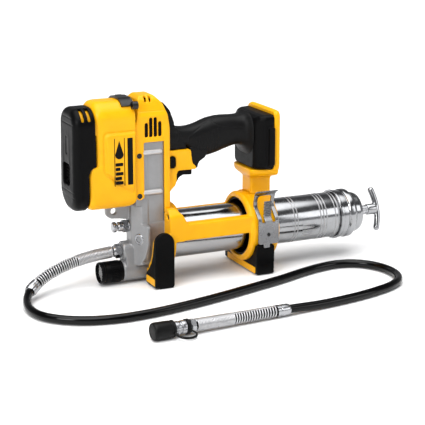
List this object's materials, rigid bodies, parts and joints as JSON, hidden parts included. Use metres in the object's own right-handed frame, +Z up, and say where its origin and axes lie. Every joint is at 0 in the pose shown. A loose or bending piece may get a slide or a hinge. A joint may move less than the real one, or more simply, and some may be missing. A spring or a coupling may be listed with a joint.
{
  "type": "battery grease gun",
  "caption": "Battery grease gun with motor housing, crank pump head, screw-in grease barrel, pistol grip, feet, lamp and a hose with a capped coupler.",
  "frame": {"origin": "on the ground, under the middle of the gun without its hose", "axes": "+X along the barrel towards the pull handle, +Z up, -Y the side with the proud end of the lock button"},
  "size_m": [0.4936, 0.259, 0.226],
  "materials": {
    "yellow_plastic": "moulded, fine texture",
    "black_plastic": "moulded, fine texture",
    "soft_grip": "soft overmould",
    "rubber": "smooth rubber",
    "cast_metal": "die cast, satin",
    "chrome": "bright plated",
    "steel": "zinc plated",
    "dark_steel": "black coated",
    "copper": "enamelled winding",
    "lamp_board": "white solder mask",
    "lamp_glass": "clear lens"
  },
  "bodies": {
    "gun": {"motor_housing_left": "yellow_plastic", "motor_housing_right": "yellow_plastic", "motor_end_cap": "black_plastic", "column_cover_left": "yellow_plastic", "column_cover_right": "yellow_plastic", "cover_screw_1": "dark_steel", "cover_screw_2": "dark_steel", "cradle_left": "yellow_plastic", "cradle_right": "yellow_plastic", "front_foot": "black_plastic", "rear_foot": "black_plastic", "battery_neck_left": "yellow_plastic", "battery_neck_right": "yellow_plastic", "battery_base": "black_plastic", "terminal_block": "black_plastic", "grip_left": "soft_grip", "grip_right": "soft_grip", "switch_body": "black_plastic", "trigger_spring": "steel", "pump_head": "cast_metal", "gearcase_plate": "cast_metal", "motor_can": "dark_steel", "motor_bearing_front": "steel", "motor_bearing_rear": "steel", "check_spring": "steel", "outlet_fitting": "steel", "bleeder_valve": "chrome", "port_plug": "steel", "lamp_housing": "black_plastic", "lamp_board": "lamp_board", "lamp_lens": "lamp_glass", "strap_bracket": "dark_steel", "hose_clip": "steel", "barrel_bushing": "rubber", "hose": "rubber", "spring_guard_near": "steel", "guard_ferrule_near": "steel", "guard_ferrule_far": "steel", "spring_guard_far": "steel", "coupler_nut": "chrome", "coupler_body": "chrome", "dust_cap": "rubber"},
    "trigger": {"trigger": "black_plastic"},
    "lock_button": {"lock_button": "black_plastic"},
    "bleeder_button": {"bleeder_button": "steel"},
    "rotor": {"armature": "copper", "cooling_fan": "black_plastic", "motor_pinion": "steel"},
    "intermediate": {"intermediate_gear": "steel"},
    "crank": {"crank_gear": "steel"},
    "yoke": {"drive_yoke": "steel", "plunger": "chrome"},
    "check_ball": {"check_ball": "chrome"},
    "barrel": {"barrel_tube": "chrome", "barrel_end_cap": "chrome", "follower_spring": "steel"},
    "follower": {"follower_disc": "steel", "follower_seal": "rubber"},
    "pull_rod": {"follower_rod": "chrome", "pull_handle": "chrome"}
  },
  "joints": [
    {"name": "trigger_pull", "type": "slide", "parent": "gun", "child": "trigger", "axis": [0, 0, 1], "range_m": [0, 0.006], "stiffness_N_per_m": 1500, "springref_m": -0.002, "deforming": ["trigger_spring"]},
    {"name": "lock_push", "type": "slide", "parent": "gun", "child": "lock_button", "axis": [0, 1, 0], "range_m": [0, 0.004]},
    {"name": "bleeder_press", "type": "slide", "parent": "gun", "child": "bleeder_button", "axis": [1, 0, 0], "range_m": [0, 0.002], "stiffness_N_per_m": 600, "springref_m": -0.001},
    {"name": "motor_spin", "type": "hinge", "parent": "gun", "child": "rotor", "pos_m": [-0.168, 0, 0.192], "axis": [1, 0, 0], "continuous": true},
    {"name": "intermediate_spin", "type": "hinge", "parent": "gun", "child": "intermediate", "pos_m": [-0.1385, 0, 0.1695], "axis": [1, 0, 0], "continuous": true},
    {"name": "crank_spin", "type": "hinge", "parent": "gun", "child": "crank", "pos_m": [-0.1185, 0, 0.1505], "axis": [1, 0, 0], "continuous": true},
    {"name": "plunger_stroke", "type": "slide", "parent": "gun", "child": "yoke", "axis": [0, 0, 1], "range_m": [-0.0045, 0.0045]},
    {"name": "check_lift", "type": "slide", "parent": "gun", "child": "check_ball", "axis": [-1, 0, 0], "range_m": [0, 0.0008], "stiffness_N_per_m": 200, "springref_m": -0.001},
    {"name": "barrel_withdraw", "type": "slide", "parent": "gun", "child": "barrel", "axis": [1, 0, 0], "range_m": [0, 0.27]},
    {"name": "follower_draw", "type": "slide", "parent": "barrel", "child": "follower", "axis": [1, 0, 0], "range_m": [0, 0.188], "stiffness_N_per_m": 250, "springref_m": -0.04, "deforming": ["follower_spring"]},
    {"name": "handle_turn", "type": "hinge", "parent": "follower", "child": "pull_rod", "pos_m": [0.2, 0, 0.0525], "axis": [1, 0, 0], "continuous": true}
  ],
  "couplings": [
    {"joint": "intermediate_spin", "follows": "motor_spin", "ratio": -0.28571},
    {"joint": "crank_spin", "follows": "motor_spin", "ratio": 0.13187}
  ]
}
